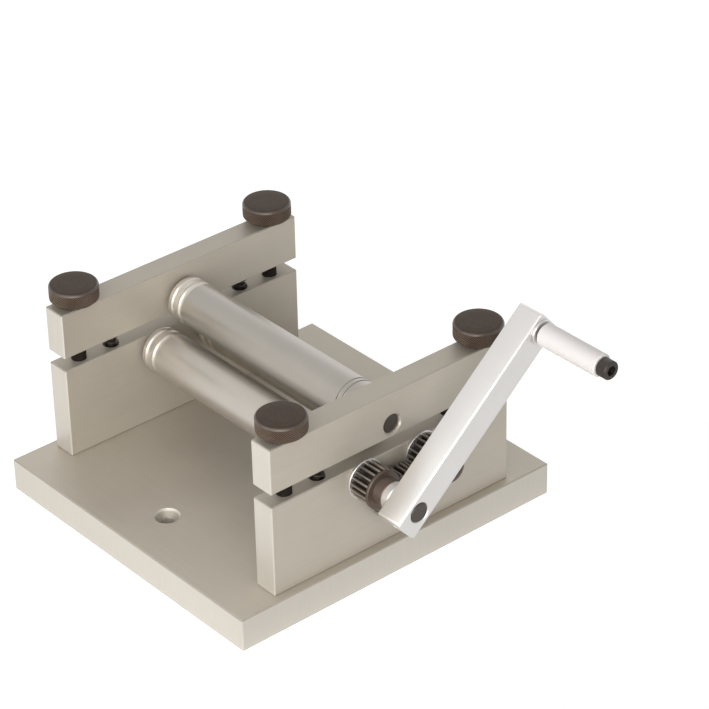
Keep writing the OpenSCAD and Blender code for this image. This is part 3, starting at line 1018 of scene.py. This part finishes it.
class SLIPROLL_OT_crank(bpy.types.Operator):
    """Rounds the crank arm's edges and gives the crank its bright metal"""

    bl_idname = "sliproll.crank"
    bl_label = "Dress Crank"

    def execute(self, context):
        sizes = context.scene.slip_roll_sizes
        finishes = context.scene.slip_roll_finishes
        bright = bright_aluminium("Bright aluminium", finishes)
        arm = eased("crank_arm", bright, sizes.crank_edge)
        settle(arm, "crank", "crank_arm")
        dress(bright, "crank_collar", "handle_washer", "front_gear_washer", "rear_gear_washer")
        dress(grip_plastic("Grip plastic", finishes), "handle_grip")
        ribbed = ribbed_oxide("Ribbed screw oxide", finishes, middle("handle_screw"))
        dress(ribbed, "handle_screw")
        plain = black_oxide("Screw oxide", finishes.black_oxide)
        dress(plain, "crank_set_screw", "left_plate_screws", "right_plate_screws")
        return {"FINISHED"}


class SLIPROLL_OT_thumbscrews(bpy.types.Operator):
    """Makes the four thumbscrews with their knurl and thread"""

    bl_idname = "sliproll.thumbscrews"
    bl_label = "Make Thumbscrews"

    def execute(self, context):
        sizes = context.scene.slip_roll_sizes
        finishes = context.scene.slip_roll_finishes
        low, high = SCREW_LOW.z, SCREW_HIGH.z
        knob_z = high - sizes.knob_h
        neck_z = knob_z - sizes.neck_h
        rim, shank, neck = sizes.knob_d / 2, sizes.shank_d / 2, sizes.neck_d / 2
        edge, brow = sizes.knob_edge, sizes.knob_brow
        brow_h = BROW_RISE_SHARE * brow
        knurl_low, knurl_high = knob_z + edge, high - brow_h
        diamond_w = math.tau * rim / sizes.knurl_count
        rows = 2 * round((knurl_high - knurl_low) / diamond_w)
        thread_steps = round((THREAD_HIGH - THREAD_LOW) / sizes.thread_pitch * THREAD_RINGS)

        profile = [(0.0, low), (shank - SHANK_EDGE, low), (shank, low + SHANK_EDGE)]
        profile += [(shank, z) for z in evenly(THREAD_LOW, THREAD_HIGH, thread_steps)]
        profile += [(shank, neck_z), (neck - NECK_EDGE, neck_z), (neck, neck_z + NECK_EDGE)]
        profile += [(neck, knob_z), (rim - edge, knob_z)]
        profile += [(rim, z) for z in evenly(knurl_low, knurl_high, rows)]
        profile += [
            (rim - brow * (1 - math.cos(turn)), high - brow_h * (1 - math.sin(turn)))
            for turn in evenly(0.0, math.pi / 2, BROW_STEPS)[1:]
        ]
        profile += [(rim / 2, high), (0.0, high)]

        oxide = knurled_oxide("Thumbscrew oxide", finishes, neck_z, high - brow_h)
        knurl, thread = knurl_group(), thread_group()
        for corner in CORNERS:
            node = "thumbscrew_" + corner
            mesh = lathe("knurled_" + node, profile, 2 * sizes.knurl_count)
            piece = mesh_object("knurled_" + node, mesh, oxide)
            knurl.on(
                piece,
                Count=sizes.knurl_count,
                Rows=rows,
                Depth=sizes.knurl_depth,
                Radius=rim,
                Low=knurl_low,
                High=knurl_high,
                Material=oxide,
            )
            thread.on(
                piece,
                Pitch=sizes.thread_pitch,
                Depth=sizes.thread_depth,
                Radius=shank,
                Low=THREAD_LOW,
                High=THREAD_HIGH,
                Material=oxide,
            )
            apply_modifiers(piece)
            place = middle(node)
            piece.data.transform(Matrix.Translation((place.x, place.y, 0)))
            shade_by_angle(piece.data, degrees=24.0)
            settle(piece, node, node)
        return {"FINISHED"}


class SLIPROLL_OT_springs(bpy.types.Operator):
    """Winds the four lift springs and dresses their guide pins"""

    bl_idname = "sliproll.springs"
    bl_label = "Make Lift Springs"

    def execute(self, context):
        sizes = context.scene.slip_roll_sizes
        finishes = context.scene.slip_roll_finishes
        wire = sizes.wire_d
        steel = black_oxide("Spring steel", finishes.spring_steel, metallic=0.6, gloss=0.3)
        coil = coil_group()
        for corner in CORNERS:
            node = "lift_spring_" + corner
            low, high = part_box(node)
            place = middle(node)
            piece = mesh_object("wound_" + node, bpy.data.meshes.new("wound_" + node), steel)
            coil.on(
                piece,
                Turns=sizes.spring_turns,
                Radius=(high.x - low.x - wire) / 2,
                Wire=wire,
                Height=high.z - low.z - wire,
                Material=steel,
            )
            apply_modifiers(piece)
            piece.data.transform(Matrix.Translation((place.x, place.y, low.z + wire / 2)))
            shade_by_angle(piece.data, degrees=50.0)
            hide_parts(node)
            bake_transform(piece)
            dress(steel, "guide_pin_" + corner)
        return {"FINISHED"}


class SLIPROLL_OT_stage(bpy.types.Operator):
    """Sets the white bench, the world, the lamps and the camera"""

    bl_idname = "sliproll.stage"
    bl_label = "Set Stage"

    def execute(self, context):
        scene = context.scene
        scene.view_settings.view_transform = "Standard"
        self.bench()
        self.world(scene)
        self.lamps(scene)
        self.camera(scene)
        return {"FINISHED"}

    def bench(self):
        """A bench top under the base and a floor, each with its corners and its glow."""
        for name, low, high, glow in (
            ("bench_top", (-1.6, -1.6, -0.12), (BENCH_EDGE_X, 1.6, 0.0), 0.84),
            ("bench_floor", (-3.0, -3.0, -0.9), (3.0, 3.0, -0.85), 1.0),
        ):
            white = bench_white(name.replace("_", " ") + " white", glow)
            mesh_object(name, block(name, low, high), white)

    def world(self, scene):
        """White behind the object and in its gloss, dimmer as light."""
        scene.world = bpy.data.worlds.new("White studio")
        scene.world.use_nodes = True
        sky = Tree(scene.world.node_tree)
        sky.tree.nodes.clear()
        strength = sky.eye() * (1.0 - WORLD_LIGHT) + WORLD_LIGHT
        glow = sky.node("ShaderNodeBackground", {}, {"Color": WHITE, "Strength": strength})
        sky.node("ShaderNodeOutputWorld", {}, {"Surface": glow})

    def lamps(self, scene):
        """Square area lamps, each with its place, what it looks at, its size, watts and colour."""
        for name, place, target, size, power, colour in (
            ("front", (0.07, -0.45, 0.25), (-0.03, 0.0, 0.04), 0.55, 1.3, LAMP_TINT),
            ("right", (1.0, -0.8, 0.45), (0.0, 0.0, 0.05), 1.0, 11.3, LAMP_TINT),
            ("back", (-1.1, 1.1, 0.35), (0.0, 0.0, 0.05), 1.4, 3.0, WHITE[:3]),
        ):
            data = bpy.data.lights.new(name, "AREA")
            data.energy = power
            data.size = size
            data.color = colour
            lamp = bpy.data.objects.new(name, data)
            lamp.visible_camera = False
            lamp.location = place
            aim = Vector(target) - Vector(place)
            lamp.rotation_euler = aim.to_track_quat("-Z", "Y").to_euler()
            scene.collection.objects.link(lamp)

    def camera(self, scene):
        """The photograph's own view, worked out from the edges of the object."""
        data = bpy.data.cameras.new("Photo view")
        data.sensor_width = 36.0
        data.lens = 159.554
        data.clip_start, data.clip_end = 0.05, 20.0
        place = (1.038525, -0.81732, 0.899958)
        yaw, pitch, roll = 0.87443, -0.555293, -0.022953
        camera = bpy.data.objects.new("Photo view", data)
        camera.matrix_world = (
            Matrix.Translation(place)
            @ Matrix.Rotation(yaw, 4, "Z")
            @ Matrix.Rotation(math.pi / 2 + pitch, 4, "X")
            @ Matrix.Rotation(roll, 4, "Z")
        )
        scene.collection.objects.link(camera)
        scene.camera = camera


STEPS = (
    SLIPROLL_OT_stage,
    SLIPROLL_OT_plates,
    SLIPROLL_OT_rolls,
    SLIPROLL_OT_gears,
    SLIPROLL_OT_crank,
    SLIPROLL_OT_thumbscrews,
    SLIPROLL_OT_springs,
)


class SLIPROLL_PT_panel(bpy.types.Panel):
    """Lists the sizes, colours and steps of the dressing"""

    bl_idname = "SLIPROLL_PT_panel"
    bl_label = "Slip Roll"
    bl_space_type = "VIEW_3D"
    bl_region_type = "UI"
    bl_category = "Slip Roll"

    def draw(self, context):
        for group in (context.scene.slip_roll_sizes, context.scene.slip_roll_finishes):
            box = self.layout.box()
            for name in group.bl_rna.properties.keys():
                if name not in ("rna_type", "name"):
                    box.prop(group, name)
        for step in STEPS:
            self.layout.operator(step.bl_idname)


CLASSES = (SlipRollSizes, SlipRollFinishes, *STEPS, SLIPROLL_PT_panel)


def register():
    for cls in CLASSES:
        bpy.utils.register_class(cls)
    bpy.types.Scene.slip_roll_sizes = bpy.props.PointerProperty(type=SlipRollSizes)
    bpy.types.Scene.slip_roll_finishes = bpy.props.PointerProperty(type=SlipRollFinishes)


def unregister():
    del bpy.types.Scene.slip_roll_finishes
    del bpy.types.Scene.slip_roll_sizes
    for cls in reversed(CLASSES):
        bpy.utils.unregister_class(cls)


def main():
    """Runs every step."""
    register()
    for step in STEPS:
        category, name = step.bl_idname.split(".")
        if getattr(getattr(bpy.ops, category), name)() != {"FINISHED"}:
            raise RuntimeError(step.bl_label + " did not finish")


if __name__ == "__main__":
    main()
